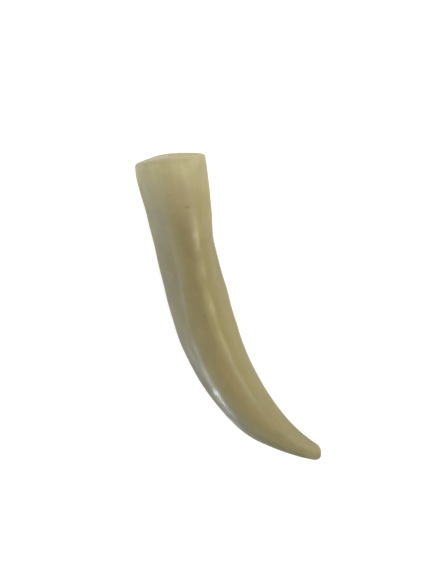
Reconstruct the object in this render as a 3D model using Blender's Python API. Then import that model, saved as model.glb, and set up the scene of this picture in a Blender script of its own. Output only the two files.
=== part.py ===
"""A boar tusk: one curved tooth with a soft three-sided section, sawn off at the root.

Metres, +Z up. The tusk lies on its side on z = 0. +X runs from the root to the tip along the
chord, and +Y points to the hollow side of the bend. The origin is under the middle of the
tusk's box.

Every point of the skin is found from two numbers: how far along the middle line its ring is,
and the direction in which it lies from the middle of that ring.
"""

import functools
import math

import bmesh
import bpy
from mathutils import Vector

MM = 0.001

# The bend, seen from above: the root is nearly straight and the turn gathers towards the tip
LENGTH = 121.2 * MM
BEND = math.radians(65.5)
BEND_POWER = 2.57
MIDDLE_STEP = 0.25 * MM

# The outline, seen from above: share of the length, half width to the outside, to the hollow side
OUTLINE = (
    (0.00, 12.45 * MM, 11.6 * MM),
    (0.05, 12.5 * MM, 11.6 * MM),
    (0.15, 11.15 * MM, 11.05 * MM),
    (0.25, 10.35 * MM, 9.9 * MM),
    (0.40, 10.05 * MM, 10.55 * MM),
    (0.50, 10.15 * MM, 10.3 * MM),
    (0.60, 9.55 * MM, 9.5 * MM),
    (0.70, 8.65 * MM, 8.6 * MM),
    (0.80, 7.65 * MM, 7.0 * MM),
    (0.90, 5.05 * MM, 4.65 * MM),
    (1.00, 3.0 * MM, 1.95 * MM),
)

# Depth as a share of the width, and how round the section is: share of the length, value
DEPTH = ((0.0, 0.74), (0.5, 0.76), (1.0, 0.86))
ROUNDNESS = ((0.0, 0.40), (0.3, 0.05), (0.7, 0.15), (1.0, 0.80))

# The flats of the section that stay the same all along: direction of each from the middle in
# degrees (0 is the hollow side, 90 is up), and its distance from the middle
FLATS = ((100, 0.62), (-55, 0.78), (-118, 0.68))

# The flats that change along the tusk: share of the length, direction, distance. The first takes
# the edge off the ridge near the root. The last moves out towards the tip, so that the crest where
# it meets the top runs out to the side of the bend
RIDGE_FLAT = ((0.0, 75, 0.77), (0.4, 75, 0.77), (0.6, 75, 0.84), (1.0, 75, 0.95))
HOLLOW_FLAT = ((0.0, 26, 0.80), (0.25, 22, 0.80), (0.5, 28, 0.80), (1.0, 29, 0.80))
OUTER_FLAT = (
    (0.0, 135, 0.70),
    (0.28, 135, 0.63),
    (0.46, 145, 0.73),
    (0.62, 142, 0.89),
    (0.72, 146, 0.99),
    (1.0, 165, 1.00),
)

# How sharp the corners between the flats are: share of the length, power
CORNER_POWER = ((0.0, 6.0), (0.3, 8.0), (0.5, 7.0), (0.7, 6.0), (1.0, 5.0))

# Slow swellings left by growth: distance from one to the next, height, where their wave starts, and
# where along the tusk they fade in and out
SWELL_PITCH = 13.0 * MM
SWELL_HEIGHT = 0.055 * MM
SWELL_START = 6.9 * MM
SWELLS_FROM = 10.0 * MM
SWELLS_UNTIL = 74.0 * MM
SWELLS_FADE = 12.0 * MM

# The blunt tip, and how far its underside curls up from the surface
TIP_ROUND = 2.2 * MM
TIP_POWER = 2.4
TIP_LIFT = 1.8 * MM
TIP_LIFT_FROM = 0.78

# The tip's end is worn at a slant: it reaches further on the outside of the bend
TIP_SLANT = 0.24
TIP_SLANT_FROM = 0.93
TIP_HOLLOW_SIDE = 1.8 * MM

# The saw cut at the root: it faces a little to the hollow side and a little upwards
CUT_SIDEWAYS = math.radians(5.5)
CUT_UPWARDS = math.radians(4.0)
CUT_FADE = 26.0 * MM

# The end's edge is rounded all round, more above and below than at the sides. Beyond some distance
# from the middle line, on the outside of the bend, the end slopes away as a worn shoulder
RIM_ROUND_SIDE = 1.1 * MM
RIM_ROUND_ABOVE = 2.4 * MM
SHOULDER_FROM = 3.2 * MM
SHOULDER_SLOPE = 0.25
SHOULDER_BLEND = 2.5 * MM
FACE_MARGIN = 1.0 * MM

# How finely the skin is divided: spokes round it, and rings along it
SPOKES = 44
SECTION_STEPS = 6
SHOULDER_RINGS = 4
RIM_RINGS = 6
BODY_START = 4.0 * MM
BODY_SPACING = 2.2 * MM
TIP_RINGS = 7

TUSK_COLOUR = (0.34, 0.30, 0.17, 1.0)
TUSK_ROUGHNESS = 0.32
SHARP_FROM = math.radians(40.0)


def clear_scene():
    """Removes every object that is in the scene."""
    for thing in list(bpy.data.objects):
        bpy.data.objects.remove(thing, do_unlink=True)


def read_along(stations, share, column=1):
    """Reads a column of a station table at this share of the length, on a smooth curve."""
    last = len(stations) - 1
    share = min(max(share, stations[0][0]), stations[last][0])
    here = max(i for i in range(last) if stations[i][0] <= share)

    def slope(i):
        before = stations[max(i - 1, 0)]
        after = stations[min(i + 1, last)]
        return (after[column] - before[column]) / (after[0] - before[0])

    start, end = stations[here], stations[here + 1]
    span = end[0] - start[0]
    t = (share - start[0]) / span
    straight = start[column] * (1 + 2 * t) * (1 - t) ** 2 + end[column] * t * t * (3 - 2 * t)
    curved = slope(here) * t * (1 - t) ** 2 - slope(here + 1) * t * t * (1 - t)
    return straight + curved * span


def heading(distance):
    """Direction of the middle line at this distance from the cut, as an angle from the root's."""
    return BEND * max(distance / LENGTH, 0.0) ** BEND_POWER


def trace_middle():
    """Points along the middle line, one for each step, with the root at the start."""
    points = [Vector((0.0, 0.0, 0.0))]
    for step in range(math.ceil(LENGTH / MIDDLE_STEP)):
        turn = heading((step + 0.5) * MIDDLE_STEP)
        points.append(points[-1] + MIDDLE_STEP * Vector((math.cos(turn), math.sin(turn), 0.0)))
    return points


def middle_at(points, distance):
    """The point of the middle line at this distance from the cut."""
    step = min(int(distance / MIDDLE_STEP), len(points) - 2)
    return points[step].lerp(points[step + 1], distance / MIDDLE_STEP - step)


@functools.lru_cache(maxsize=None)
def flat_sided_section(share):
    """The section's points, one for each spoke, stretched to reach -1 and 1 each way."""
    changing = (RIDGE_FLAT, HOLLOW_FLAT, OUTER_FLAT)
    flats = FLATS + tuple((read_along(flat, share, 1), read_along(flat, share, 2)) for flat in changing)
    power = read_along(CORNER_POWER, share)
    raw = []
    for step in range(SPOKES * SECTION_STEPS):
        angle = math.tau * step / (SPOKES * SECTION_STEPS)
        total = 0.0
        for direction, distance in flats:
            facing = max(math.cos(angle - math.radians(direction)), 0.0)
            total += (facing / distance) ** power
        reach = total ** (-1.0 / power)
        raw.append((reach * math.cos(angle), reach * math.sin(angle)))
    stretched = []
    for axis in (0, 1):
        low = min(point[axis] for point in raw)
        high = max(point[axis] for point in raw)
        on_spokes = raw[::SECTION_STEPS]
        stretched.append([(2 * point[axis] - low - high) / (high - low) for point in on_spokes])
    return list(zip(*stretched))


def swelling(distance):
    """How far the skin stands out at this distance because of the swellings."""
    inside = min(distance - SWELLS_FROM, SWELLS_UNTIL - distance)
    strength = min(max(inside / SWELLS_FADE, 0.0), 1.0)
    return strength * SWELL_HEIGHT * math.sin(math.tau * (distance - SWELL_START) / SWELL_PITCH)


def tip_share(distance):
    """The share of its width that the tusk has left here: 1, but falling to 0 over the blunt tip."""
    into_tip = max(1.0 - (LENGTH - distance) / TIP_ROUND, 0.0)
    return max(1.0 - into_tip**TIP_POWER, 0.0) ** (1.0 / TIP_POWER)


def tip_lift(share):
    """Height of the underside above the surface at this share of the length."""
    return TIP_LIFT * max((share - TIP_LIFT_FROM) / (1.0 - TIP_LIFT_FROM), 0.0) ** 2


def half_widths(distance):
    """Half widths to the outside of the bend and to the hollow side, before the tip is rounded."""
    share = distance / LENGTH
    swell = swelling(distance)
    return read_along(OUTLINE, share, 1) + swell, read_along(OUTLINE, share, 2) + swell


def half_depth(distance):
    """Half of the height of the section, before the tip is rounded."""
    return 0.5 * sum(half_widths(distance)) * read_along(DEPTH, distance / LENGTH)


def section_point(distance, spoke, inset=0.0):
    """Where a spoke meets the skin: (towards the hollow side, up), from the middle line's plan."""
    share = distance / LENGTH
    outer, hollow = half_widths(distance)
    depth = half_depth(distance)
    angle = math.tau * spoke / SPOKES
    roundness = read_along(ROUNDNESS, share)
    flat_side, flat_rise = flat_sided_section(share)[spoke]
    side = (1 - roundness) * flat_side + roundness * math.cos(angle)
    rise = (1 - roundness) * flat_rise + roundness * math.sin(angle)
    offset = Vector((0.5 * (outer + hollow) * side, depth * rise)) * tip_share(distance)
    if inset:
        offset *= 1.0 - inset / offset.length
    return offset + Vector((0.5 * (hollow - outer), depth + tip_lift(share)))


def shoulder(side):
    """How far the end slopes away at this distance to the side: nothing on the flat face."""
    beyond = -side - SHOULDER_FROM
    if beyond > SHOULDER_BLEND:
        return SHOULDER_SLOPE * beyond
    return SHOULDER_SLOPE * max(beyond + SHOULDER_BLEND, 0.0) ** 2 / (4.0 * SHOULDER_BLEND)


def tip_slant(distance, side):
    """How far a point near the tip is moved along, for the slant that the tip is worn to."""
    into_tip = max((distance / LENGTH - TIP_SLANT_FROM) / (1.0 - TIP_SLANT_FROM), 0.0)
    return TIP_SLANT * (TIP_HOLLOW_SIDE - side) * into_tip**2


def place_point(middle, distance, side, rise):
    """A point beside the middle line, moved along near both ends to follow their slants."""
    slant = math.tan(CUT_SIDEWAYS) * side + math.tan(CUT_UPWARDS) * (rise - half_depth(0.0))
    slant = (slant + shoulder(side)) * max(1.0 - distance / CUT_FADE, 0.0) ** 2
    slant += tip_slant(distance, side)
    turn = heading(distance)
    along = Vector((math.cos(turn), math.sin(turn), 0.0))
    across = Vector((-math.sin(turn), math.cos(turn), 0.0))
    place = middle_at(middle, distance) + slant * along + side * across
    return place + Vector((0.0, 0.0, rise))


def skin_point(middle, distance, spoke, inset=0.0):
    """The point of the skin on this spoke, or that far inside it."""
    side, rise = section_point(distance, spoke, inset)
    return place_point(middle, distance, side, rise)


def rim_round(spoke):
    """How wide the rounding of the end's edge is on this spoke."""
    upright = math.sin(math.tau * spoke / SPOKES) ** 2
    return RIM_ROUND_SIDE + (RIM_ROUND_ABOVE - RIM_ROUND_SIDE) * upright


def end_ring(middle, share):
    """A ring on the end: at share 0 it goes round the flat face, at share 1 along the rim."""
    ring = []
    for spoke in range(SPOKES):
        rim_side, rim_rise = section_point(0.0, spoke, rim_round(spoke))
        face_side, face_rise = section_point(0.0, spoke, rim_round(spoke) + FACE_MARGIN)
        face_side = max(face_side, SHOULDER_BLEND - SHOULDER_FROM)
        side = face_side + (rim_side - face_side) * share
        rise = face_rise + (rim_rise - face_rise) * share
        ring.append(place_point(middle, 0.0, side, rise))
    return ring


def rim_ring(middle, turned):
    """A ring of the rounded edge: turned by 0 it is on the side, by a right angle on the end."""
    ring = []
    for spoke in range(SPOKES):
        distance = rim_round(spoke) * (1.0 - math.sin(turned))
        inset = rim_round(spoke) * (1.0 - math.cos(turned))
        ring.append(skin_point(middle, distance, spoke, inset))
    return ring


def ring_at(middle, distance):
    """A ring of the tusk's side."""
    return [skin_point(middle, distance, spoke) for spoke in range(SPOKES)]


def all_rings(middle):
    """Every ring from the cut to the blunt tip."""
    right_angle = 0.5 * math.pi
    rings = [end_ring(middle, step / SHOULDER_RINGS) for step in range(SHOULDER_RINGS)]
    for step in range(RIM_RINGS):
        turned = right_angle * (1.0 - step / (RIM_RINGS - 1))
        rings.append(rim_ring(middle, turned))
    body_length = LENGTH - TIP_ROUND - BODY_START
    body_rings = round(body_length / BODY_SPACING)
    for step in range(body_rings):
        rings.append(ring_at(middle, BODY_START + body_length * step / body_rings))
    for step in range(TIP_RINGS):
        from_end = TIP_ROUND * (1.0 - math.sin(right_angle * step / TIP_RINGS))
        rings.append(ring_at(middle, LENGTH - from_end))
    return rings


def settle(rings, tip):
    """Turns the chord from the root's middle onto +X, and the box's middle over the origin."""
    chord = math.atan2(tip.y, tip.x)
    everything = [point for ring in rings for point in ring] + [tip]
    for point in everything:
        x, y = point.x, point.y
        point.x = x * math.cos(chord) + y * math.sin(chord)
        point.y = y * math.cos(chord) - x * math.sin(chord)
    for axis in (0, 1):
        low = min(point[axis] for point in everything)
        high = max(point[axis] for point in everything)
        for point in everything:
            point[axis] -= 0.5 * (low + high)
    floor = min(point.z for point in everything)
    for point in everything:
        point.z -= floor


def skin_mesh(rings, tip):
    """One closed mesh: the flat cut, the rings joined by quads, and a fan over the tip."""
    skin = bmesh.new()
    loops = [[skin.verts.new(point) for point in ring] for ring in rings]
    end = skin.verts.new(tip)
    skin.faces.new(reversed(loops[0]))
    for loop, following in zip(loops, loops[1:]):
        for k in range(SPOKES):
            after = (k + 1) % SPOKES
            skin.faces.new((loop[k], loop[after], following[after], following[k]))
    for k in range(SPOKES):
        skin.faces.new((loops[-1][k], loops[-1][(k + 1) % SPOKES], end))
    mesh = bpy.data.meshes.new("tusk")
    skin.to_mesh(mesh)
    skin.free()
    return mesh


def tusk_material():
    """Old ivory: a dull olive cream with a soft shine."""
    material = bpy.data.materials.new("tusk ivory")
    material.use_nodes = True
    shader = material.node_tree.nodes["Principled BSDF"]
    shader.inputs["Base Color"].default_value = TUSK_COLOUR
    shader.inputs["Roughness"].default_value = TUSK_ROUGHNESS
    shader.inputs["Metallic"].default_value = 0.0
    return material


def make_tusk():
    """The tusk, lying on its side."""
    middle = trace_middle()
    rings = all_rings(middle)
    tip = skin_point(middle, LENGTH, 0)
    settle(rings, tip)
    mesh = skin_mesh(rings, tip)
    mesh.materials.append(tusk_material())
    mesh.shade_smooth()
    mesh.set_sharp_from_angle(angle=SHARP_FROM)
    tusk = bpy.data.objects.new("tusk", mesh)
    bpy.context.scene.collection.objects.link(tusk)
    return tusk


clear_scene()
make_tusk()
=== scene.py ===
# %% [markdown]
# # A boar tusk
#
# The object is a single tooth: the lower canine of a wild boar, sawn off near the root and
# lying on its side. It has no fittings. What makes it look right is its long bend, a soft
# flat-sided section, a skin that changes from pale cream at the root to olive brown along the
# body, and a worn, waxy shine that breaks up along the ridge and the outer edge.
#
# The imported solid already has the true form and size. This script builds that form again with
# a much finer skin, adds the low relief and gives it its finish. The first cell loads the solid
# and keeps its box, so that the finished tusk can be put in the same place. One unit is a
# metre, and `MM` lets sizes be written in millimetres.

# %% Load the imported solid
import math

import bpy
import numpy as np
from mathutils import Matrix, Vector, noise


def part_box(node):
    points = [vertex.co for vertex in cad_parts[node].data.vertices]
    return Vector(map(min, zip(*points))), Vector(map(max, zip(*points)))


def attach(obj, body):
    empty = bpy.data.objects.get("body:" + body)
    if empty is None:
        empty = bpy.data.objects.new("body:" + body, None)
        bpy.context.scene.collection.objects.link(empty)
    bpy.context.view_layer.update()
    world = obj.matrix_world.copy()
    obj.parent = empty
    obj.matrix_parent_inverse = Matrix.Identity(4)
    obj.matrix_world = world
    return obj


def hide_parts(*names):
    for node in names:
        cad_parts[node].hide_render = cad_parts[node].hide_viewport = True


MM = 0.001

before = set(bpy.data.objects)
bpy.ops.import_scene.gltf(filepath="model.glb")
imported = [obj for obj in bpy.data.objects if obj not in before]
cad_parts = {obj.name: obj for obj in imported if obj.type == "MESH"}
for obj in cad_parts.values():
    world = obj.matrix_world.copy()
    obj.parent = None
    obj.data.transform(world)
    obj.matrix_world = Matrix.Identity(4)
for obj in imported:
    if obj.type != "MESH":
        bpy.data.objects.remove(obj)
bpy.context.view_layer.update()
cad_low, cad_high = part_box("tusk")
print("solid:", [round(side / MM, 2) for side in cad_high - cad_low], "mm")

# %% [markdown]
# ## The bend
#
# Seen from above, a boar tusk is nearly straight at the root and turns more and more towards
# the tip. A circle can't do that. A power of the distance can: the direction of the middle
# line turns by `BEND * share ** BEND_POWER`. Short steps in that direction, added up, give the
# line itself. The numbers are the ones that the solid was made with.

# %% The middle line
LENGTH = 121.2 * MM
BEND = math.radians(65.5)
BEND_POWER = 2.57
MIDDLE_STEP = 0.25 * MM


def heading(distance):
    """How far the middle line has turned at these distances from the root."""
    return BEND * np.maximum(distance / LENGTH, 0.0) ** BEND_POWER


steps = math.ceil(LENGTH / MIDDLE_STEP)
middle_distance = MIDDLE_STEP * np.arange(steps + 1)
step_turn = heading(middle_distance[:-1] + 0.5 * MIDDLE_STEP)
middle_x = np.concatenate([[0.0], np.cumsum(MIDDLE_STEP * np.cos(step_turn))])
middle_y = np.concatenate([[0.0], np.cumsum(MIDDLE_STEP * np.sin(step_turn))])
print("middle line ends at", round(middle_x[-1] / MM, 1), round(middle_y[-1] / MM, 1), "mm")

# %% [markdown]
# ## The outline
#
# The width changes along the tusk: it flares at the root, has a slight neck a quarter of the
# way along, and tapers fast over the last third. Eleven pairs of half widths say all that, and
# a smooth curve through them fills in the rest. Growth also left slow swellings, 13 mm apart,
# which break up the shine along the ridge.

# %% Widths along the tusk
# share of the length, half width to the outside of the bend, half width to the hollow side
OUTLINE = (
    (0.00, 12.45 * MM, 11.6 * MM),
    (0.05, 12.5 * MM, 11.6 * MM),
    (0.15, 11.15 * MM, 11.05 * MM),
    (0.25, 10.35 * MM, 9.9 * MM),
    (0.40, 10.05 * MM, 10.55 * MM),
    (0.50, 10.15 * MM, 10.3 * MM),
    (0.60, 9.55 * MM, 9.5 * MM),
    (0.70, 8.65 * MM, 8.6 * MM),
    (0.80, 7.65 * MM, 7.0 * MM),
    (0.90, 5.05 * MM, 4.65 * MM),
    (1.00, 3.0 * MM, 1.95 * MM),
)
# share of the length, height as a share of the width
DEPTH = ((0.0, 0.74), (0.5, 0.76), (1.0, 0.86))
SWELL_PITCH = 13.0 * MM
SWELL_HEIGHT = 0.055 * MM
SWELL_START = 6.9 * MM
SWELLS_FROM = 10.0 * MM
SWELLS_UNTIL = 74.0 * MM
SWELLS_FADE = 12.0 * MM
print("half widths are given at", len(OUTLINE), "places")

# %% A smooth curve through a table
def read_along(stations, share, column=1):
    """Reads a column of a station table at these shares of the length, on a smooth curve."""
    table = np.array(stations)
    x, y = table[:, 0], table[:, column]
    last = len(x) - 1
    before = np.maximum(np.arange(last + 1) - 1, 0)
    after = np.minimum(np.arange(last + 1) + 1, last)
    slope = (y[after] - y[before]) / (x[after] - x[before])
    share = np.clip(share, x[0], x[last])
    here = np.clip(np.searchsorted(x, share, side="right") - 1, 0, last - 1)
    span = x[here + 1] - x[here]
    t = (share - x[here]) / span
    straight = y[here] * (1 + 2 * t) * (1 - t) ** 2 + y[here + 1] * t * t * (3 - 2 * t)
    curved = slope[here] * t * (1 - t) ** 2 - slope[here + 1] * t * t * (1 - t)
    return straight + curved * span


print("height in the middle:", round(float(read_along(DEPTH, 0.5)), 2), "of the width")

# %% Half widths and half depth
def swelling(distance):
    """How far the skin stands out at these distances because of the slow swellings."""
    inside = np.minimum(distance - SWELLS_FROM, SWELLS_UNTIL - distance)
    strength = np.clip(inside / SWELLS_FADE, 0.0, 1.0)
    return strength * SWELL_HEIGHT * np.sin(math.tau * (distance - SWELL_START) / SWELL_PITCH)


def half_widths(distance):
    """Half widths to the outside of the bend and to the hollow side."""
    share = distance / LENGTH
    swell = swelling(distance)
    return read_along(OUTLINE, share, 1) + swell, read_along(OUTLINE, share, 2) + swell


def half_depth(distance):
    """Half of the height of the section."""
    return 0.5 * sum(half_widths(distance)) * read_along(DEPTH, distance / LENGTH)


for share in (0.0, 0.25, 0.5, 0.9):
    width = sum(half_widths(share * LENGTH))
    print("share", share, "width", round(float(width) / MM, 1), "mm")

# %% [markdown]
# ## The section
#
# Across, the tusk is a soft flat-sided shape with a rounded ridge on top. Three flats stay
# the same all along: the top and two below. Three more change from root to tip. One takes the
# edge off the ridge near the root, and one forms the hollow side. The last faces the outside of
# the bend and moves out towards the tip, so that the faint second crest, where it meets the
# top, runs out to the side two thirds of the way along.
#
# Every direction asks how far it could go before it met each flat, and a high power blends the
# answers into one outline with soft corners: the higher the power, the sharper they are. At the
# very root and tip the section is rounder.

# %% The section
# direction that a flat faces, in degrees upwards from the hollow side, and its distance
FLATS = ((100, 0.62), (-55, 0.78), (-118, 0.68))
# share of the length, direction, distance
RIDGE_FLAT = ((0.0, 75, 0.77), (0.4, 75, 0.77), (0.6, 75, 0.84), (1.0, 75, 0.95))
HOLLOW_FLAT = ((0.0, 26, 0.80), (0.25, 22, 0.80), (0.5, 28, 0.80), (1.0, 29, 0.80))
OUTER_FLAT = (
    (0.0, 135, 0.70),
    (0.28, 135, 0.63),
    (0.46, 145, 0.73),
    (0.62, 142, 0.89),
    (0.72, 146, 0.99),
    (1.0, 165, 1.00),
)
# share of the length, value there
CORNER_POWER = ((0.0, 6.0), (0.3, 8.0), (0.5, 7.0), (0.7, 6.0), (1.0, 5.0))
ROUNDNESS = ((0.0, 0.40), (0.3, 0.05), (0.7, 0.15), (1.0, 0.80))
SPOKES = 176
spoke_angle = math.tau * np.arange(SPOKES) / SPOKES


def stretched(values):
    """The values of each ring, moved and scaled to reach from -1 to 1."""
    low, high = values.min(axis=1, keepdims=True), values.max(axis=1, keepdims=True)
    return (2 * values - low - high) / (high - low)


def section_shape(share):
    """For each ring and spoke: how far towards the hollow side and how far up, from -1 to 1."""
    total = np.zeros(np.broadcast(share, spoke_angle).shape)
    changing = (RIDGE_FLAT, HOLLOW_FLAT, OUTER_FLAT)
    changing = [(read_along(flat, share, 1), read_along(flat, share, 2)) for flat in changing]
    power = read_along(CORNER_POWER, share)
    for direction, distance in [*FLATS, *changing]:
        facing = np.maximum(np.cos(spoke_angle - np.radians(direction)), 0.0)
        total += (facing / distance) ** power
    reach = total ** (-1.0 / power)
    roundness = read_along(ROUNDNESS, share)
    side = (1 - roundness) * stretched(reach * np.cos(spoke_angle)) + roundness * np.cos(spoke_angle)
    rise = (1 - roundness) * stretched(reach * np.sin(spoke_angle)) + roundness * np.sin(spoke_angle)
    return side, rise


side_at, rise_at = section_shape(np.array([[0.3]]))
print("ridge at", round(float(side_at[0, rise_at.argmax()]), 2), "of the half width")

# %% [markdown]
# ## The blunt tip, and points inside the skin
#
# Over the last two millimetres the width falls to nothing on a blunt curve. The tip also lifts
# off the table, because the tusk thins out from below. One function turns all of this into
# points of a section. Its `outwards` moves a point off the plain skin: below zero it goes
# inside, for the rounded edge of the root, and small amounts either way are the low relief.

# %% Points of a section
TIP_ROUND = 2.2 * MM
TIP_POWER = 2.4
TIP_LIFT = 1.8 * MM
TIP_LIFT_FROM = 0.78
NEARLY_NOTHING = 0.01 * MM


def tip_share(distance):
    """The share of its width that the tusk has left: it falls to 0 over the blunt tip."""
    into_tip = np.maximum(1.0 - (LENGTH - distance) / TIP_ROUND, 0.0)
    return np.maximum(1.0 - into_tip**TIP_POWER, 0.0) ** (1.0 / TIP_POWER)


def section_points(distance, outwards=0.0):
    """For a column of distances, points on every spoke: to the hollow side, and up."""
    share = distance / LENGTH
    outer, hollow = half_widths(distance)
    depth = half_depth(distance)
    side, rise = section_shape(share)
    side = 0.5 * (outer + hollow) * side * tip_share(distance)
    rise = depth * rise * tip_share(distance)
    scale = 1.0 + outwards / np.maximum(np.hypot(side, rise), NEARLY_NOTHING)
    lift = TIP_LIFT * np.maximum((share - TIP_LIFT_FROM) / (1.0 - TIP_LIFT_FROM), 0.0) ** 2
    return side * scale + 0.5 * (hollow - outer), rise * scale + depth + lift


root_side, root_rise = section_points(np.zeros((1, 1)))
print("root:", round(np.ptp(root_side) / MM, 1), "wide,", round(np.ptp(root_rise) / MM, 1), "mm high")

# %% [markdown]
# ## The sawn end
#
# The end is a flat saw cut with a rounded edge. Towards the outside of the bend its corner is
# worn away to a sloping shoulder. All the rings of the end lie at distance 0. They start in the
# middle of the flat face, spread to its edge, and go on over the shoulder to the rim. The rim
# rounds over to the skin in a quarter circle, which is wider above and below than at the sides.

# %% Rings of the end
RIM_ROUND_SIDE = 1.1 * MM
RIM_ROUND_ABOVE = 2.4 * MM
SHOULDER_FROM = 3.2 * MM
SHOULDER_SLOPE = 0.25
SHOULDER_BLEND = 2.5 * MM
FACE_MARGIN = 1.0 * MM
FACE_RINGS = 22
SHOULDER_RINGS = 16
RIM_RINGS = 14

rim_round = RIM_ROUND_SIDE + (RIM_ROUND_ABOVE - RIM_ROUND_SIDE) * np.sin(spoke_angle) ** 2
turned = 0.5 * math.pi * (1.0 - np.arange(RIM_RINGS) / (RIM_RINGS - 1))[:, None]
root = np.zeros((RIM_RINGS, 1))
rim_distance = rim_round * (1.0 - np.sin(turned))
rim_side, rim_rise = section_points(root, rim_round * (np.cos(turned) - 1.0))
face_side, face_rise = section_points(root[:1], -rim_round - FACE_MARGIN)
face_side = np.maximum(face_side, SHOULDER_BLEND - SHOULDER_FROM)
centre_side, centre_rise = float(face_side.mean()), float(face_rise.mean())
spread = (np.arange(1, FACE_RINGS + 1) / (FACE_RINGS + 1))[:, None]
inner_side = centre_side + (face_side - centre_side) * spread
inner_rise = centre_rise + (face_rise - centre_rise) * spread
onto_rim = (np.arange(SHOULDER_RINGS) / SHOULDER_RINGS)[:, None]
end_side = np.concatenate([inner_side, face_side + (rim_side[:1] - face_side) * onto_rim])
end_rise = np.concatenate([inner_rise, face_rise + (rim_rise[:1] - face_rise) * onto_rim])
print("flat face:", round(np.ptp(face_side) / MM, 1), "by", round(np.ptp(face_rise) / MM, 1), "mm")

# %% [markdown]
# ## Rings of the long side
#
# From the rim to the start of the blunt tip the rings are evenly spaced, about 0.3 mm apart,
# which is fine enough for the low relief. The last rings crowd together where the tip rounds.

# %% Distances of the side's rings
BODY_RINGS = 400
TIP_RINGS = 18

body = np.linspace(RIM_ROUND_ABOVE, LENGTH - TIP_ROUND, BODY_RINGS, endpoint=False)[1:]
tip_turn = 0.5 * math.pi * np.arange(TIP_RINGS) / TIP_RINGS
long_side = np.concatenate([body, LENGTH - TIP_ROUND * (1.0 - np.sin(tip_turn))])[:, None]
plain_side, plain_rise = section_points(long_side)
print("rings:", len(end_side) + RIM_RINGS + len(long_side), "of", SPOKES, "points")

# %% [markdown]
# ## Low relief
#
# Smooth formulas alone look like plastic. Real teeth carry several kinds of unevenness at
# once: wide dents and small hollows from growth and wear, long flutes along the tooth, and
# ripples across it, where growth paused. Each is smooth noise or a wave, at most a few
# hundredths of a millimetre high. That is hardly seen in the outline, but it breaks up the
# shine, which is where the eye looks for it.

# %% Dents, flutes, hollows and ripples
# size of the noise, how many times longer it is along the tusk, height
DENTS = (9.0 * MM, 1.6, 0.06 * MM)
FLUTES = (3.0 * MM, 12.0, 0.006 * MM)
HOLLOWS = (2.6 * MM, 1.3, 0.022 * MM)
RIPPLE_PITCH = 1.25 * MM
RIPPLE_HEIGHT = 0.002 * MM
RIPPLE_PATCH = 5.0 * MM
RIPPLE_BEND_SIZE = 4.0 * MM
RIPPLE_BEND = 2.5
RELIEF_FROM = 1.0 * MM
RELIEF_FADE = 5.0 * MM


def soft_noise(size, drawn_out=1.0, shift=0.0):
    """Smooth noise on the long side, from about -1 to 1, drawn out along the tusk."""
    along = np.broadcast_to(long_side / drawn_out, plain_side.shape)
    places = np.stack([along, plain_side, plain_rise], axis=-1).reshape(-1, 3) / size + shift
    values = [noise.noise(Vector(place)) for place in places]
    return np.array(values).reshape(plain_side.shape)


relief = np.zeros(plain_side.shape)
# every kind has a shift of its own, so that it reads another part of the noise
for size, drawn_out, height in (DENTS, FLUTES, HOLLOWS):
    relief += height * soft_noise(size, drawn_out, size / MM)
ripple_bend = RIPPLE_BEND * soft_noise(RIPPLE_BEND_SIZE, shift=30.0)
ripple_strength = np.clip(0.6 + 1.6 * soft_noise(RIPPLE_PATCH, shift=60.0), 0.0, 1.0)
ripple = np.sin(math.tau * long_side / RIPPLE_PITCH + ripple_bend)
relief += RIPPLE_HEIGHT * ripple_strength * ripple
print("relief:", round(relief.min() / MM, 3), "to", round(relief.max() / MM, 3), "mm")

# %% [markdown]
# ## Marks
#
# A tusk that has been used and kept for years has a few nicks. Each one here is a small dent
# with a soft edge, given by its place on the upper side, its size and its depth. The same
# table also makes a mask, so that the finish can darken the dirt that has settled in them.

# %% Nicks
# distance along, distance to the hollow side, half length along, half width across, depth
NICKS = (
    (12.5 * MM, -2.0 * MM, 0.35 * MM, 0.9 * MM, 0.018 * MM),
    (17.4 * MM, 3.1 * MM, 0.35 * MM, 0.9 * MM, 0.06 * MM),
    (49.4 * MM, -8.3 * MM, 0.30 * MM, 0.3 * MM, 0.03 * MM),
    (55.0 * MM, 0.9 * MM, 0.50 * MM, 0.35 * MM, 0.04 * MM),
)
FULL_DIRT = 0.04 * MM
top_side = plain_rise > half_depth(long_side)
nick_mask = np.zeros(plain_side.shape)
for along, to_side, half_length, half_width, depth in NICKS:
    away = ((long_side - along) / half_length) ** 2 + ((plain_side - to_side) / half_width) ** 2
    dent = np.exp(-away) * top_side
    relief -= depth * dent
    nick_mask = np.maximum(nick_mask, dent * min(depth / FULL_DIRT, 1.0))
relief *= np.clip((long_side - RELIEF_FROM) / RELIEF_FADE, 0.0, 1.0) * tip_share(long_side)
side, rise = section_points(long_side, relief)
print("nicks:", len(NICKS), "points darkened:", int((nick_mask > 0.3).sum()))

# %% [markdown]
# ## From rings to skin
#
# Now every point gets its place: its section is put on the middle line, square to its
# direction. Near the root the points also slide along the tusk, so that the rings of the end
# lie in the plane of the saw cut, and the shoulder slopes away from it. Near the tip they slide
# forward, the more the nearer they are to the outside of the bend, because the tip is worn at
# a slant.

# %% Place every point
CUT_SIDEWAYS = math.radians(5.5)
CUT_UPWARDS = math.radians(4.0)
CUT_FADE = 26.0 * MM
TIP_SLANT = 0.24
TIP_SLANT_FROM = 0.93
TIP_HOLLOW_SIDE = 1.8 * MM


def shoulder(side):
    """How far the end slopes away at this distance to the side: nothing on the flat face."""
    beyond = -side - SHOULDER_FROM
    blend = SHOULDER_SLOPE * np.maximum(beyond + SHOULDER_BLEND, 0.0) ** 2 / (4.0 * SHOULDER_BLEND)
    return np.where(beyond > SHOULDER_BLEND, SHOULDER_SLOPE * beyond, blend)


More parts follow.
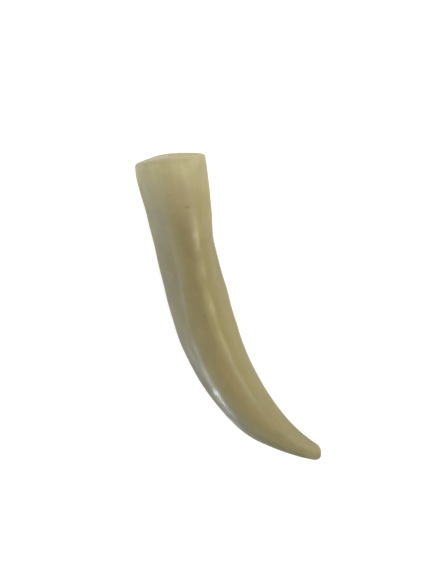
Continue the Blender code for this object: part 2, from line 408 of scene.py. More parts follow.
def place_points(distance, side, rise):
    """Points of the tusk, with the root's middle at the origin and the root pointing along x."""
    slant = math.tan(CUT_SIDEWAYS) * side + math.tan(CUT_UPWARDS) * (rise - half_depth(0.0))
    slant = (slant + shoulder(side)) * np.maximum(1.0 - distance / CUT_FADE, 0.0) ** 2
    into_tip = np.maximum((distance / LENGTH - TIP_SLANT_FROM) / (1.0 - TIP_SLANT_FROM), 0.0)
    slant += TIP_SLANT * (TIP_HOLLOW_SIDE - side) * into_tip**2
    turn = heading(distance)
    x = np.interp(distance, middle_distance, middle_x) + slant * np.cos(turn) - side * np.sin(turn)
    y = np.interp(distance, middle_distance, middle_y) + slant * np.sin(turn) + side * np.cos(turn)
    return np.stack([x, y, rise], axis=-1)


all_spokes = np.ones(SPOKES)
all_distance = np.concatenate([0.0 * end_side, rim_distance, long_side * all_spokes])
all_side = np.concatenate([end_side, rim_side, side])
all_rise = np.concatenate([end_rise, rim_rise, np.maximum(rise, 0.0)])
straight = np.stack([all_distance, all_side, all_rise], axis=-1).reshape(-1, 3)
tip_points = section_points(np.array([[LENGTH]]))
tip_place = [LENGTH, tip_points[0][0, 0], tip_points[1][0, 0]]
straight = np.concatenate([straight, [tip_place], [[0.0, centre_side, centre_rise]]])
points = place_points(*straight.T)
print("points:", len(points))

# %% [markdown]
# ## Into the frame
#
# The solid has the chord from the root's middle to the tip along +X, and its origin under the
# middle of its box. So the points are turned by the same angle, and moved until their box has
# the same middle as the solid's.

# %% Turn and move the points onto the solid
tip = points[-2]
chord = math.atan2(tip[1], tip[0])
across = points[:, 1] * math.cos(chord) - points[:, 0] * math.sin(chord)
points[:, 0] = points[:, 0] * math.cos(chord) + points[:, 1] * math.sin(chord)
points[:, 1] = across
solid_middle = 0.5 * (np.array(cad_low) + np.array(cad_high))
points[:, :2] += (solid_middle - 0.5 * (points.min(axis=0) + points.max(axis=0)))[:2]
print("skin:", (np.ptp(points, axis=0) / MM).round(2), "mm")
print("turned by", round(math.degrees(chord), 2), "degrees")

# %% [markdown]
# ## The mesh
#
# Points and faces go straight into a mesh: quads between neighbouring rings, a fan round the
# tip and a fan round the middle of the sawn face.

# %% Build the tusk
ring_count = len(all_distance)
spoke = np.arange(SPOKES)
after = (spoke + 1) % SPOKES
here = SPOKES * np.arange(ring_count - 1)[:, None]
quads = np.stack([here + spoke, here + after, here + SPOKES + after, here + SPOKES + spoke], axis=-1)
tip_index = ring_count * SPOKES
last_ring = tip_index - SPOKES
tip_fan = [(last_ring + int(a), last_ring + int(b), tip_index) for a, b in zip(spoke, after)]
face_fan = [(int(b), int(a), tip_index + 1) for a, b in zip(spoke, after)]
mesh = bpy.data.meshes.new("boar_tusk")
mesh.from_pydata(points.tolist(), [], quads.reshape(-1, 4).tolist() + tip_fan + face_fan)
mesh.shade_smooth()
tusk = bpy.data.objects.new("boar_tusk", mesh)
bpy.context.scene.collection.objects.link(tusk)
print("faces:", len(mesh.polygons))

# %% [markdown]
# ## Where each point is on the tooth
#
# Each point keeps where it lies on the tusk as if the tusk were unbent, in metres, and also as
# shares of the length, the half width and the half depth. The finish is painted in those
# measures, so a streak follows the bend and a growth line stays square to it.

# %% Keep the straightened places
half_width_here = 0.5 * sum(half_widths(straight[:, 0]))
shares = np.stack(
    [
        straight[:, 0] / LENGTH,
        straight[:, 1] / half_width_here,
        straight[:, 2] / half_depth(straight[:, 0]) - 1.0,
    ],
    axis=-1,
)
for name, values in (("straight", straight), ("shares", shares)):
    attribute = mesh.attributes.new(name, "FLOAT_VECTOR", "POINT")
    attribute.data.foreach_set("vector", values.astype(np.float32).ravel())
nicks = np.zeros(len(points), np.float32)
nicks[tip_index - nick_mask.size : tip_index] = nick_mask.ravel()
mesh.attributes.new("nicks", "FLOAT", "POINT").data.foreach_set("value", nicks)
print("shares from", shares.min(axis=0).round(2), "to", shares.max(axis=0).round(2))

# %% [markdown]
# ## Helpers for the finish
#
# A finish is a tree of small nodes. A few helpers keep the cells short: one adds a node with
# its settings and inputs in a single call, and the others do one common job each. The most
# useful is `profile`. It says how strong something is along a line by a short list of places and
# strengths, in the way that a curve editor would, but readable.

# %% Node helpers
def add(tree, kind, inputs=None, **settings):
    """Adds a node. An input that is a socket gets linked, and any other is set as a value."""
    made = tree.nodes.new(kind)
    for name, value in settings.items():
        setattr(made, name, value)
    for name, value in (inputs or {}).items():
        if isinstance(value, bpy.types.NodeSocket):
            tree.links.new(value, made.inputs[name])
        else:
            made.inputs[name].default_value = value
    return made


def maths(tree, operation, first, second=0.0):
    """The output of a Math node."""
    return add(tree, "ShaderNodeMath", {0: first, 1: second}, operation=operation).outputs[0]


def times(tree, *values):
    """The product of these values."""
    product = values[0]
    for value in values[1:]:
        product = maths(tree, "MULTIPLY", product, value)
    return product


print("helpers for nodes ready")

# %% Smooth steps and profiles
def between(tree, value, low, high, to_low=0.0, to_high=1.0):
    """The value's way from low to high, smoothed, and read from to_low to to_high."""
    inputs = {"Value": value, "From Min": low, "From Max": high, "To Min": to_low, "To Max": to_high}
    made = add(tree, "ShaderNodeMapRange", inputs, interpolation_type="SMOOTHSTEP")
    return made.outputs["Result"]


def hump(tree, value, middle, half):
    """1 where the value is at the middle, falling smoothly to 0 at half a width on either side."""
    away = maths(tree, "ABSOLUTE", maths(tree, "SUBTRACT", value, middle))
    return between(tree, away, half, 0.0)


def profile(tree, value, stations):
    """Reads a short list of (place, strength) pairs at the value, with a smooth step between pairs."""
    strength = stations[0][1]
    for (start, low), (end, high) in zip(stations, stations[1:]):
        if high != low:
            strength = maths(tree, "ADD", between(tree, value, start, end, 0.0, high - low), strength)
    return strength


print("helpers for profiles ready")

# %% Tints and groups
def tinted(tree, share, colour, tint):
    """The colour with the tint laid over it by this share."""
    mix = add(tree, "ShaderNodeMix", data_type="RGBA")
    for identifier, value in (("Factor_Float", share), ("A_Color", colour), ("B_Color", tint)):
        socket = next(s for s in mix.inputs if s.identifier == identifier)
        if isinstance(value, bpy.types.NodeSocket):
            tree.links.new(value, socket)
        else:
            socket.default_value = value
    return next(s for s in mix.outputs if s.identifier == "Result_Color")


def new_group(name, inputs, output):
    """A node group with these inputs and one number output: its tree and its two ends."""
    tree = bpy.data.node_groups.new(name, "ShaderNodeTree")
    for socket, kind, value in inputs:
        made = tree.interface.new_socket(socket, in_out="INPUT", socket_type=kind)
        if value is not None:
            made.default_value = value
    tree.interface.new_socket(output, in_out="OUTPUT", socket_type="NodeSocketFloat")
    return tree, tree.nodes.new("NodeGroupInput").outputs, tree.nodes.new("NodeGroupOutput").inputs


print("helpers for tints and groups ready")

# %% [markdown]
# ## Effects that both finishes share
#
# The skin and the sawn face are the same tooth, so they share two effects. *Cloudy tooth* is
# the soft unevenness of old ivory, drawn out along the tusk. *Growth lines* are the fine lines
# that growth leaves: across the skin they follow the distance from the root, and on the sawn
# face they are rings round the middle. Each is a node group, built once and fed with its own
# measure and values in each finish.

# %% Cloudy tooth
def make_cloudy_tooth():
    """A group that gives a cloudy factor from 0 to 1 at a straightened place."""
    tree, given, result = new_group(
        "cloudy tooth",
        [
            ("Place", "NodeSocketVector", None),
            ("Size", "NodeSocketFloat", 0.01),
            ("Drawn Out", "NodeSocketFloat", 4.0),
            ("Detail", "NodeSocketFloat", 3.0),
        ],
        "Cloud",
    )
    apart = add(tree, "ShaderNodeSeparateXYZ", {0: given["Place"]}).outputs
    along = maths(tree, "DIVIDE", apart["X"], given["Drawn Out"])
    place = add(tree, "ShaderNodeCombineXYZ", {"X": along, "Y": apart["Y"], "Z": apart["Z"]})
    scale = maths(tree, "DIVIDE", 1.0, given["Size"])
    inputs = {"Vector": place.outputs[0], "Scale": scale, "Detail": given["Detail"], "Roughness": 0.55}
    cloud = add(tree, "ShaderNodeTexNoise", inputs)
    tree.links.new(between(tree, cloud.outputs["Fac"], 0.3, 0.7), result["Cloud"])
    return tree


cloudy_tooth = make_cloudy_tooth()


def cloudy(tree, place, size, drawn_out, detail):
    """The cloudy tooth effect, placed in a finish with these values."""
    inputs = {"Place": place, "Size": size, "Drawn Out": drawn_out, "Detail": detail}
    return add(tree, "ShaderNodeGroup", inputs, node_tree=cloudy_tooth).outputs["Cloud"]


print("group:", cloudy_tooth.name)

# %% Growth lines
def make_growth_lines():
    """A group that gives fine lines, 1 on a line and 0 between, along any measure in metres."""
    tree, given, result = new_group(
        "growth lines",
        [
            ("Measure", "NodeSocketFloat", 0.0),
            ("Place", "NodeSocketVector", None),
            ("Spacing", "NodeSocketFloat", 0.0007),
            ("Wander", "NodeSocketFloat", 0.0006),
        ],
        "Lines",
    )
    drift = add(tree, "ShaderNodeTexNoise", {"Vector": given["Place"], "Scale": 160.0, "Detail": 2.0})
    shifted = times(tree, maths(tree, "SUBTRACT", drift.outputs["Fac"], 0.5), given["Wander"])
    turns = maths(tree, "DIVIDE", maths(tree, "ADD", given["Measure"], shifted), given["Spacing"])
    inputs = {"W": turns, "Scale": 1.0, "Detail": 3.0, "Roughness": 0.6}
    lines = add(tree, "ShaderNodeTexNoise", inputs, noise_dimensions="1D")
    tree.links.new(between(tree, lines.outputs["Fac"], 0.35, 0.65), result["Lines"])
    return tree


growth_lines = make_growth_lines()


def grown(tree, measure, place, spacing, wander):
    """The growth lines effect, placed in a finish with these values."""
    inputs = {"Measure": measure, "Place": place, "Spacing": spacing, "Wander": wander}
    return add(tree, "ShaderNodeGroup", inputs, node_tree=growth_lines).outputs["Lines"]


print("group:", growth_lines.name)

# %% [markdown]
# ## The skin's colours
#
# The bulging side of the tusk is enamel, cool and greyish. The hollow side is bare dentine,
# yellower and lighter, and it is painted lighter still towards its edge, as light from the
# right would make it. Between them, beside the ridge, runs a darker brown band, which turns
# to a faint orange streak in the last half. The root was in the gum and is pale cream, and the
# tip is worn to a dull green.
#
# An image could hold all this, but a list of layers stays readable and can be changed. Each
# layer lays one tint over the colour below it. It has a line that it follows, a profile across
# that line and a profile along the tusk. All places are shares: across, -1 is the outside of
# the bend and 1 the hollow side, and along, 0 is the root and 1 the tip.

# %% Tints
OLIVE = (0.158, 0.130, 0.048, 1.0)
ROOT_CREAM = (0.345, 0.311, 0.162, 1.0)
ROOT_PINK = (0.235, 0.185, 0.090, 1.0)
ENAMEL_GREY = (0.130, 0.118, 0.064, 1.0)
DENTINE = (0.225, 0.187, 0.058, 1.0)
BAND_BROWN = (0.150, 0.121, 0.043, 1.0)
STREAK_ORANGE = (0.195, 0.145, 0.050, 1.0)
TIP_GREEN = (0.203, 0.182, 0.083, 1.0)
# dark olive: painted shade on the tip's outer side and over shine that is too strong on the outer side; a
# few patches near the tip are darkened with it too
TIP_SHADE = (0.085, 0.076, 0.016, 1.0)
RUST = (0.255, 0.175, 0.075, 1.0)
# dark grey-brown: painted shade along the edges
EDGE_SHADE = (0.060, 0.052, 0.032, 1.0)
NICK_DIRT = (0.090, 0.072, 0.045, 1.0)
# deep yellow: under the ridge's shine it is painted light, at the hollow edge it is the tooth's own colour
DEEP_YELLOW = (0.235, 0.195, 0.005, 1.0)
COOL_GREY = (0.240, 0.232, 0.180, 1.0)
# near-white, for painted highlights
HIGHLIGHT_WHITE = (0.520, 0.520, 0.420, 1.0)
print("olive is the ground colour:", OLIVE[:3])

# %% Layers of colour
MIDDLE = ((0.0, 0.0),)
EVERYWHERE = ((0.0, 1.0),)


def stripe(half_width):
    """A profile that is 1 on its line and fades out at half a width on either side."""
    return ((-half_width, 0.0), (0.0, 1.0), (half_width, 0.0))


# tint, line that it follows, profile across that line, profile along the tusk
ZONES = (
    # painted light: the dentine tint grows towards the hollow edge, standing in for light from the right
    (DENTINE, MIDDLE, ((0.15, 0.0), (0.95, 1.0)), EVERYWHERE),
    (ENAMEL_GREY, MIDDLE, ((-0.95, 1.0), (-0.05, 0.0)), EVERYWHERE),
    (BAND_BROWN, ((0.25, 0.02), (0.42, -0.04)), stripe(0.3), ((0.1, 0), (0.26, 0.8), (0.5, 0.8), (0.7, 0))),
    (STREAK_ORANGE, ((0.0, 0.1),), stripe(0.3), ((0.48, 0.0), (0.68, 0.7), (0.88, 0.0))),
)
CREAM_ACROSS = ((-0.5, 0.7), (0.4, 1.0))
CREAM_ALONG = ((-0.02, 1.0), (0.2, 0.0))
CREAM_LEAN = 0.015
ENDS = (
    (ROOT_PINK, ((0.0, 0.1),), stripe(0.7), ((0.02, 0.0), (0.12, 0.6), (0.22, 0.0))),
    (TIP_GREEN, MIDDLE, ((-0.35, 0.05), (0.4, 1.0)), ((0.70, 0.0), (0.93, 1.0))),
)
# the last layers: a pale tip end, painted highlights along the ridge, and painted shade along the edges and
# the tip's outer side
WEAR_SHINE_AND_SHADE = (
    (ROOT_CREAM, MIDDLE, EVERYWHERE, ((0.955, 0.0), (0.985, 0.14))),
    # painted highlight: a paler stripe beside the ridge's shine and a yellower one under it widen and warm
    # that shine
    (DENTINE, ((0.0, 0.28),), stripe(0.2), ((0.27, 0), (0.36, 0.35), (0.5, 0.35), (0.72, 0))),
    (DEEP_YELLOW, ((0.0, 0.41),), stripe(0.14), ((0.34, 0), (0.4, 0.25), (0.5, 0.25), (0.6, 0))),
    # painted shade: darker along the outer side of the tip and along the outer edge; the last layer darkens
    # the hollow edge near the neck
    (TIP_SHADE, MIDDLE, ((-0.95, 1), (-0.4, 0)), ((0.76, 0), (0.86, 0.95), (0.96, 0.95), (0.99, 0))),
    (EDGE_SHADE, MIDDLE, ((-0.9, 1), (-0.6, 0)), ((0.4, 0), (0.68, 0.85), (0.72, 0.85), (0.84, 0))),
    (EDGE_SHADE, MIDDLE, ((0.55, 0), (0.95, 1)), ((0.17, 0.08), (0.22, 0.36), (0.3, 0.36), (0.44, 0.198))),
)
print("layers:", len(ZONES) + 1 + len(ENDS) + len(WEAR_SHINE_AND_SHADE))

# %% [markdown]
# ### Patches
#
# Over the zones lie soft patches, each with its middle and its reach, placed one by one. Some are
# the tooth's own colour: a pale neck, a yellow hollow edge and a rusty patch near the tip. Others
# are painted light: the pale ones on the ridge, along the outer edge and on the root's rim are
# painted highlights and reflections, and the dark ones on the outer side are painted shade over
# shine that is too strong. The rest lighten or darken the colour a little here and there.

# %% Patches
# middle across and half width, middle along and half length, share, tint
PATCHES = (
    (0.60, 0.28, 0.200, 0.08, 0.30, ROOT_CREAM),
    # painted highlights: three pale patches along the ridge's shine
    (0.39, 0.14, 0.222, 0.025, 0.30, ROOT_CREAM),
    (0.46, 0.16, 0.272, 0.02, 0.18, ROOT_CREAM),
    (0.34, 0.16, 0.385, 0.03, 0.24, ROOT_CREAM),
    (0.50, 0.16, 0.570, 0.07, 0.10, ROOT_CREAM),
    (0.72, 0.35, 0.740, 0.10, 0.10, COOL_GREY),
    (0.95, 0.25, 0.260, 0.11, 0.22, DEEP_YELLOW),
    # painted reflection: the pale outer edge near the root
    (-0.97, 0.36, 0.200, 0.17, 0.20, ROOT_CREAM),
    (-0.75, 0.50, 0.180, 0.09, 0.14, COOL_GREY),
    (-0.18, 0.34, 0.500, 0.06, 0.10, COOL_GREY),
    (-0.20, 0.30, 0.330, 0.18, 0.09, COOL_GREY),
    # painted reflection: the broad cool band where the window's streak fades towards the root
    (-0.78, 0.14, 0.575, 0.08, 0.36, COOL_GREY),
    # painted highlight where the window's streak reaches the outer edge
    (-0.93, 0.16, 0.752, 0.03, 0.16, HIGHLIGHT_WHITE),
    # painted highlights on the root's outer corner and along its rim
    (-1.00, 0.30, 0.035, 0.06, 0.22, HIGHLIGHT_WHITE),
    (-0.50, 0.90, 0.000, 0.03, 0.09, HIGHLIGHT_WHITE),
    (0.80, 0.50, 0.040, 0.05, 0.20, OLIVE),
    # painted shade: these four dark patches dim the shine on the outer side, on the second crest and round
    # the window's streak
    (-0.46, 0.30, 0.320, 0.07, 0.30, TIP_SHADE),
    (-0.68, 0.35, 0.390, 0.14, 0.20, TIP_SHADE),
    (-0.60, 0.16, 0.550, 0.05, 0.60, TIP_SHADE),
    (-0.62, 0.20, 0.715, 0.05, 0.32, TIP_SHADE),
    (-0.25, 0.50, 0.775, 0.09, 0.10, TIP_SHADE),
    (-0.02, 0.45, 0.870, 0.09, 0.24, TIP_SHADE),
    (0.02, 0.36, 0.823, 0.03, 0.40, STREAK_ORANGE),
    (0.50, 0.40, 0.850, 0.035, 0.16, RUST),
)
print("patches:", len(PATCHES))

# %% [markdown]
# ### Laying them on
#
# The layers go on from the large zones to the small marks. A cloudy noise shifts all their
# places a little first, so that no border runs straight.

# %% Paint the skin
SHIFT_ACROSS = 0.1
SHIFT_ALONG = 0.03


def straightened_place(tree):
    """Where a point lies on the tusk as if it were unbent, in metres."""
    return add(tree, "ShaderNodeAttribute", attribute_name="straight").outputs["Vector"]


def shares_on_tusk(tree):
    """A point's shares of the length along the tusk and of the half width across it."""
    shares = add(tree, "ShaderNodeAttribute", attribute_name="shares").outputs["Vector"]
    apart = add(tree, "ShaderNodeSeparateXYZ", {0: shares}).outputs
    return apart["X"], apart["Y"]


def lay_over(tree, layers, colour, along, side):
    """The colour with these layers over it, each as strong as its two profiles say."""
    for tint, line, across, lengthways in layers:
        off_line = maths(tree, "SUBTRACT", side, profile(tree, along, line))
        share = times(tree, profile(tree, off_line, across), profile(tree, along, lengthways))
        colour = tinted(tree, share, colour, tint)
    return colour


def paint_skin(tree, along, side, cloud):
    """The skin's base colour, from the large zones to the small marks."""
    drift = maths(tree, "SUBTRACT", cloud, 0.5)
    side = maths(tree, "ADD", side, times(tree, drift, SHIFT_ACROSS))
    along = maths(tree, "ADD", along, times(tree, drift, SHIFT_ALONG))
    colour = lay_over(tree, ZONES, OLIVE, along, side)
    leaning = maths(tree, "SUBTRACT", along, times(tree, side, CREAM_LEAN))
    cream = times(tree, profile(tree, leaning, CREAM_ALONG), profile(tree, side, CREAM_ACROSS))
    colour = tinted(tree, cream, colour, ROOT_CREAM)
    colour = lay_over(tree, ENDS, colour, along, side)
    for across, half_width, middle, half_length, share, tint in PATCHES:
        patch = times(tree, hump(tree, side, across, half_width), hump(tree, along, middle, half_length))
        colour = tinted(tree, times(tree, patch, share), colour, tint)
    return lay_over(tree, WEAR_SHINE_AND_SHADE, colour, along, side)


print("ready to paint", len(ZONES) + len(ENDS) + len(WEAR_SHINE_AND_SHADE) + len(PATCHES) + 1, "tints")

# %% [markdown]
# ## The skin's finish
#
# The skin is polished by use, with a soft shine. The root, which sat in the gum, and the worn
# tip are duller. Where hands and time have rubbed the tusk most, on the ridge, on the second
# crest and on the outer edge, a patchy film of wax lies over it. The shader's clear coat makes
# that film: a sharper shine over the soft one, with its own slight lumps, so that the bright
# lines break up into spots.
#
# A little light goes into the tooth and comes out again, which softens small shadows. Growth
# lines, fibres and a fine mottle vary the colour slightly, and cloudy stains warm it.

# %% Film of wax
RIDGE_WAX = ((0.18, 0), (0.225, 0.18), (0.24, 0.18), (0.27, 0.342), (0.42, 0.342), (0.53, 0.0342))
EDGE_WAX = ((0.643, 0), (0.668, 1), (0.67, 1), (0.71, 0.55), (0.75, 0.55), (0.79, 0))
CREST_WAX = ((0.22, 0), (0.3, 0.19), (0.60, 0.19), (0.68, 0))
# line that the film follows, half width, profile along the tusk
WAX_STRIPS = (
    (((0.22, 0.43), (0.42, 0.37)), 0.22, RIDGE_WAX),
    (((0.68, -0.75), (0.76, -0.93)), 0.30, EDGE_WAX),
    (((0.28, -0.28), (0.60, -0.80)), 0.24, CREST_WAX),
)
# size, how many times longer along the tusk, detail
WAX_PATCHES = (3.0 * MM, 1.4, 2.0)
WAX_PATCHINESS = ((0.1, 0.5), (0.8, 1.0))


def wax_film(tree, place, along, side):
    """How much wax lies on the skin: on the ridge, on the outer edge and on the second crest."""
    wax = 0.0
    for line, half_width, lengthways in WAX_STRIPS:
        off_line = maths(tree, "SUBTRACT", side, profile(tree, along, line))
        strip = times(tree, profile(tree, off_line, stripe(half_width)), profile(tree, along, lengthways))
        wax = maths(tree, "ADD", strip, wax)
    return times(tree, wax, profile(tree, cloudy(tree, place, *WAX_PATCHES), WAX_PATCHINESS))


print("strips of wax:", len(WAX_STRIPS))

# %% Lumps in the wax
LUMP_SIZE = 2.2 * MM
LUMP_DRAWN_OUT = 1.3
LUMP_HEIGHT = 0.04 * MM


def lumpy_normal(tree, place):
    """The slight lumps of the wax film."""
    drawn_out = {0: place, 1: (1.0 / LUMP_DRAWN_OUT, 1.0, 1.0)}
    lump_place = add(tree, "ShaderNodeVectorMath", drawn_out, operation="MULTIPLY").outputs[0]
    inputs = {"Vector": lump_place, "Scale": 1.0 / LUMP_SIZE, "Detail": 1.0, "Roughness": 0.55}
    lumps = between(tree, add(tree, "ShaderNodeTexNoise", inputs).outputs["Fac"], 0.3, 0.7)
    return add(tree, "ShaderNodeBump", {"Height": lumps, "Distance": LUMP_HEIGHT}).outputs["Normal"]


print("lumps of wax:", LUMP_HEIGHT / MM, "mm high")

# %% Skin colour
# size, how many times longer along the tusk, detail
CLOUDS = (7.0 * MM, 2.5, 3.0)
FIBRES = (1.1 * MM, 14.0, 2.0)
MOTTLE = (2.4 * MM, 1.3, 4.0)
STAINS = (3.5 * MM, 1.2, 3.0)
LINE_SPACING = 0.7 * MM
LINE_WANDER = 1.2 * MM
LINE_SHADE = 0.02
MOTTLE_SHADE = 0.05
STAIN_SHARE = ((0.45, 0.0), (1.0, 0.11))
NICK_SHARE = 0.45


def skin_colour(tree, place, along, side, cloud, lines, fibres):
    """The painted colour, varied by lines, fibres and mottle, with stains and dirty nicks."""
    colour = paint_skin(tree, along, side, cloud)
    shade = maths(tree, "SUBTRACT", 1.0 + LINE_SHADE, times(tree, lines, LINE_SHADE))
    shade = maths(tree, "SUBTRACT", shade, times(tree, fibres, LINE_SHADE))
    mottle = maths(tree, "SUBTRACT", cloudy(tree, place, *MOTTLE), 0.5)
    shade = maths(tree, "ADD", shade, times(tree, mottle, MOTTLE_SHADE))
    colour = add(tree, "ShaderNodeHueSaturation", {"Value": shade, "Color": colour}).outputs[0]
    stained = profile(tree, cloudy(tree, place, *STAINS), STAIN_SHARE)
    colour = tinted(tree, stained, colour, RUST)
    nick = add(tree, "ShaderNodeAttribute", attribute_name="nicks").outputs["Fac"]
    return tinted(tree, times(tree, nick, NICK_SHARE), colour, NICK_DIRT)


print("lines every", LINE_SPACING / MM, "mm")

# %% Put the skin together
SKIN_ROUGHNESS = ((0.0, 0.36), (1.0, 0.42))
DULL_ENDS = ((0.12, 0.14), (0.21, 0.0), (0.70, 0.0), (0.80, 0.14))
FILM_ROUGHNESS = 0.25
FILM_IOR = 1.58
GRAIN_HEIGHT = 0.003 * MM
GRAIN_STRENGTH = 0.4
TOOTH_IOR = 1.5
GLOW_SHARE = 0.12
GLOW_DEPTH = 1.5 * MM
GLOW_COLOURS = (1.0, 0.7, 0.4)


def make_skin_finish():
    """The waxy skin of the tusk."""
    material = bpy.data.materials.new("tusk skin")
    material.use_nodes = True
    tree = material.node_tree
    shader = tree.nodes["Principled BSDF"]
    place = straightened_place(tree)
    along, side = shares_on_tusk(tree)
    cloud = cloudy(tree, place, *CLOUDS)
    fibres = cloudy(tree, place, *FIBRES)
    lines = grown(tree, times(tree, along, LENGTH), place, LINE_SPACING, LINE_WANDER)
    roughness = profile(tree, cloud, SKIN_ROUGHNESS)
    roughness = maths(tree, "ADD", roughness, profile(tree, along, DULL_ENDS))
    grain = {"Height": maths(tree, "ADD", lines, fibres), "Distance": GRAIN_HEIGHT}
    grain["Strength"] = GRAIN_STRENGTH
    changing = {
        "Base Color": skin_colour(tree, place, along, side, cloud, lines, fibres),
        "Roughness": roughness,
        "Normal": add(tree, "ShaderNodeBump", grain).outputs["Normal"],
        "Coat Weight": wax_film(tree, place, along, side),
        "Coat Normal": lumpy_normal(tree, place),
    }
    for name, socket in changing.items():
        tree.links.new(socket, shader.inputs[name])
    shader.inputs["IOR"].default_value = TOOTH_IOR
    shader.inputs["Coat Roughness"].default_value = FILM_ROUGHNESS
    shader.inputs["Coat IOR"].default_value = FILM_IOR
    shader.inputs["Subsurface Weight"].default_value = GLOW_SHARE
    shader.inputs["Subsurface Radius"].default_value = GLOW_COLOURS
    shader.inputs["Subsurface Scale"].default_value = GLOW_DEPTH
    return material


skin_finish = make_skin_finish()
print("finish:", skin_finish.name, "with", len(skin_finish.node_tree.nodes), "nodes")

# %% [markdown]
# ## The sawn face's finish
#
# The saw left the face drier than the skin, so it is rougher and has no wax. Its growth lines
# are rings round the middle, where the closed pulp leaves a small darker spot.

# %% Sawn face
FACE_CREAM = (0.360, 0.330, 0.185, 1.0)
FACE_LINE = (0.310, 0.282, 0.155, 1.0)
PULP_BROWN = (0.250, 0.215, 0.120, 1.0)
PULP_OFF_MIDDLE = 3.0 * MM
PULP_EDGE = ((0.4 * MM, 0.6), (1.6 * MM, 0.0))
FACE_CLOUDS = (4.0 * MM, 1.0, 3.0)
RING_SPACING = 0.9 * MM
RING_WANDER = 2.2 * MM
RING_HEIGHT = 0.02 * MM
RING_STRENGTH = 0.5
RING_SHARE = 0.3
CLOUD_SHARE = 0.3
DRY_ROUGHNESS = 0.7
DRY_SPECULAR = 0.2


def make_face_finish():
    """The sawn face at the root."""
    material = bpy.data.materials.new("sawn face")
    material.use_nodes = True
    tree = material.node_tree
    shader = tree.nodes["Principled BSDF"]
    place = straightened_place(tree)
    middle = {0: place, 1: (0.0, centre_side - PULP_OFF_MIDDLE, centre_rise)}
    from_middle = add(tree, "ShaderNodeVectorMath", middle, operation="DISTANCE").outputs["Value"]
    cloud = cloudy(tree, place, *FACE_CLOUDS)
    lines = grown(tree, from_middle, place, RING_SPACING, RING_WANDER)
    colour = tinted(tree, times(tree, lines, RING_SHARE), FACE_CREAM, FACE_LINE)
    colour = tinted(tree, times(tree, cloud, CLOUD_SHARE), colour, ROOT_CREAM)
    colour = tinted(tree, profile(tree, from_middle, PULP_EDGE), colour, PULP_BROWN)
    tree.links.new(colour, shader.inputs["Base Color"])
    rings = {"Height": lines, "Distance": RING_HEIGHT, "Strength": RING_STRENGTH}
    tree.links.new(add(tree, "ShaderNodeBump", rings).outputs["Normal"], shader.inputs["Normal"])
    shader.inputs["Roughness"].default_value = DRY_ROUGHNESS
    shader.inputs["Specular IOR Level"].default_value = DRY_SPECULAR
    return material


face_finish = make_face_finish()
mesh.materials.append(skin_finish)
mesh.materials.append(face_finish)
on_face = np.zeros(len(mesh.polygons), np.int32)
on_face[: FACE_RINGS * SPOKES] = 1
on_face[-SPOKES:] = 1
mesh.polygons.foreach_set("material_index", on_face)
print("faces on the cut:", int(on_face.sum()))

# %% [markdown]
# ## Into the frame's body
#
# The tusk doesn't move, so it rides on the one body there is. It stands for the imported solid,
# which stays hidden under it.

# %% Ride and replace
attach(tusk, "root")
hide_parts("tusk")
print("boar_tusk rides on root and stands for tusk")

# %% [markdown]
# ## The camera
#
# The tusk lies down, and the camera looks down on it from a long way off for its size, so that
# its lines stay nearly parallel. `CAMERA_ROLL` turns the picture so that the root is up and
# the tip points down to the right. `CAMERA_TILT` leans the camera towards the root, so that a
# sliver of the sawn face shows. The lens follows from how many pixels a metre takes in the
# picture. The picture is taller than wide, so the sensor's width spans its height.

# %% Camera
PICTURE_HEIGHT = 577
PIXELS_PER_METRE = 2938.0
CAMERA_DISTANCE = 0.6
CAMERA_TILT = math.radians(7.0)
CAMERA_ROLL = math.radians(63.37)
AIM_RIGHT = -3.062 * MM
AIM_UP = 9.311 * MM
AIM_HEIGHT = 8.0 * MM

picture_right = Vector((math.cos(CAMERA_ROLL), math.sin(CAMERA_ROLL), 0.0))
towards_root = Vector((-math.sin(CAMERA_ROLL), math.cos(CAMERA_ROLL), 0.0))
back = Vector((0.0, 0.0, math.cos(CAMERA_TILT))) + towards_root * math.sin(CAMERA_TILT)
picture_up = back.cross(picture_right)
aim = Vector((0.0, 0.0, AIM_HEIGHT)) + AIM_RIGHT * picture_right + AIM_UP * picture_up
camera_data = bpy.data.cameras.new("camera")
camera = bpy.data.objects.new("camera", camera_data)
camera_data.lens = PIXELS_PER_METRE * CAMERA_DISTANCE * camera_data.sensor_width / PICTURE_HEIGHT
camera.location = aim + CAMERA_DISTANCE * back
camera.rotation_mode = "QUATERNION"
camera.rotation_quaternion = Matrix((picture_right, picture_up, back)).transposed().to_quaternion()
bpy.context.scene.collection.objects.link(camera)
bpy.context.scene.camera = camera
print("lens:", round(camera_data.lens, 1), "mm")

# %% [markdown]
# ## Floor
#
# The floor is a large pale sheet that glows evenly, like a light table. It is as white as the
# photograph's background, and the glow washes out the shadows that a plain sheet would show.

# %% Floor
HALF_FLOOR = 3.0
PAPER_GREY = (0.6, 0.6, 0.6, 1.0)
PAPER_GLOW = 0.55
WHITE = (1.0, 1.0, 1.0, 1.0)
corners = [(-HALF_FLOOR, -HALF_FLOOR, 0), (HALF_FLOOR, -HALF_FLOOR, 0)]
corners += [(HALF_FLOOR, HALF_FLOOR, 0), (-HALF_FLOOR, HALF_FLOOR, 0)]
floor_mesh = bpy.data.meshes.new("floor")
floor_mesh.from_pydata(corners, [], [(0, 1, 2, 3)])
floor = bpy.data.objects.new("floor", floor_mesh)
bpy.context.scene.collection.objects.link(floor)
paper = bpy.data.materials.new("pale paper")
paper.use_nodes = True
paper_shader = paper.node_tree.nodes["Principled BSDF"]
paper_shader.inputs["Base Color"].default_value = PAPER_GREY
paper_shader.inputs["Roughness"].default_value = 0.9
paper_shader.inputs["Specular IOR Level"].default_value = 0.0
paper_shader.inputs["Emission Color"].default_value = WHITE
paper_shader.inputs["Emission Strength"].default_value = PAPER_GLOW
floor_mesh.materials.append(paper)
print("floor:", 2 * HALF_FLOOR, "m across")

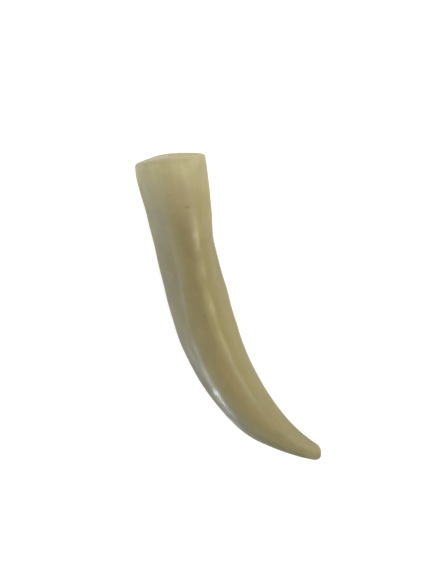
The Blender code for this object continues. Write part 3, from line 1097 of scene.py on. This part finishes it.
# %% [markdown]
# ## Light
#
# The room is pale all round, and five soft lamps shape the tusk. A ceiling panel close to the
# camera's own direction draws the broken line of shine along the ridge. A large softbox on
# the picture's right lightens the hollow side. A window low at the lower left makes the cool
# streak where the outer side turns down. A softbox behind the root lights its rim, and a pale
# wall on the left keeps the bulging side cool. The lamps are weak next to the room, so the
# shadows stay faint.

# %% A lamp from any side
def picture_direction(azimuth, elevation):
    """A direction from its angle in the picture's plane and its angle above the table."""
    azimuth, elevation = math.radians(azimuth), math.radians(elevation)
    flat = math.cos(azimuth) * picture_right + math.sin(azimuth) * towards_root
    return math.cos(elevation) * flat + math.sin(elevation) * Vector((0.0, 0.0, 1.0))


def soft_lamp(name, towards, distance, width, height, power, colour):
    """A rectangular lamp that shines on the tusk from this direction."""
    data = bpy.data.lights.new(name, "AREA")
    data.shape = "RECTANGLE"
    data.size = width
    data.size_y = height
    data.energy = power
    data.color = colour
    lamp = bpy.data.objects.new(name, data)
    lamp.location = towards * distance
    lamp.rotation_mode = "QUATERNION"
    sideways = (picture_right - towards * towards.dot(picture_right)).normalized()
    upwards = towards.cross(sideways)
    lamp.rotation_quaternion = Matrix((sideways, upwards, towards)).transposed().to_quaternion()
    lamp.visible_camera = False
    bpy.context.scene.collection.objects.link(lamp)


print("the picture's right is", [round(part, 2) for part in picture_direction(0, 0)])

# %% Lights
# name, angle round and angle above, distance, width and height, power, colour
LAMPS = (
    ("ceiling panel", -28, 63, 1.2, 0.6, 0.46, 6.0, (1.0, 0.93, 0.76)),
    ("right softbox", 25, 25, 1.6, 1.4, 1.0, 6.0, (1.0, 0.96, 0.90)),
    ("window", -134, 13, 2.0, 0.36, 0.6, 13.5, (0.80, 0.92, 1.0)),
    ("root softbox", 110, 35, 1.8, 1.2, 0.8, 6.0, (1.0, 0.98, 0.94)),
    ("pale wall", -168, 20, 2.0, 0.9, 0.7, 4.0, (0.85, 0.93, 1.0)),
)
ROOM_GLOW = 0.78

for name, azimuth, elevation, distance, width, height, power, colour in LAMPS:
    soft_lamp(name, picture_direction(azimuth, elevation), distance, width, height, power, colour)
world = bpy.data.worlds.new("pale room")
world.use_nodes = True
world.node_tree.nodes["Background"].inputs["Color"].default_value = WHITE
world.node_tree.nodes["Background"].inputs["Strength"].default_value = ROOM_GLOW
bpy.context.scene.world = world
bpy.context.scene.view_settings.view_transform = "Standard"
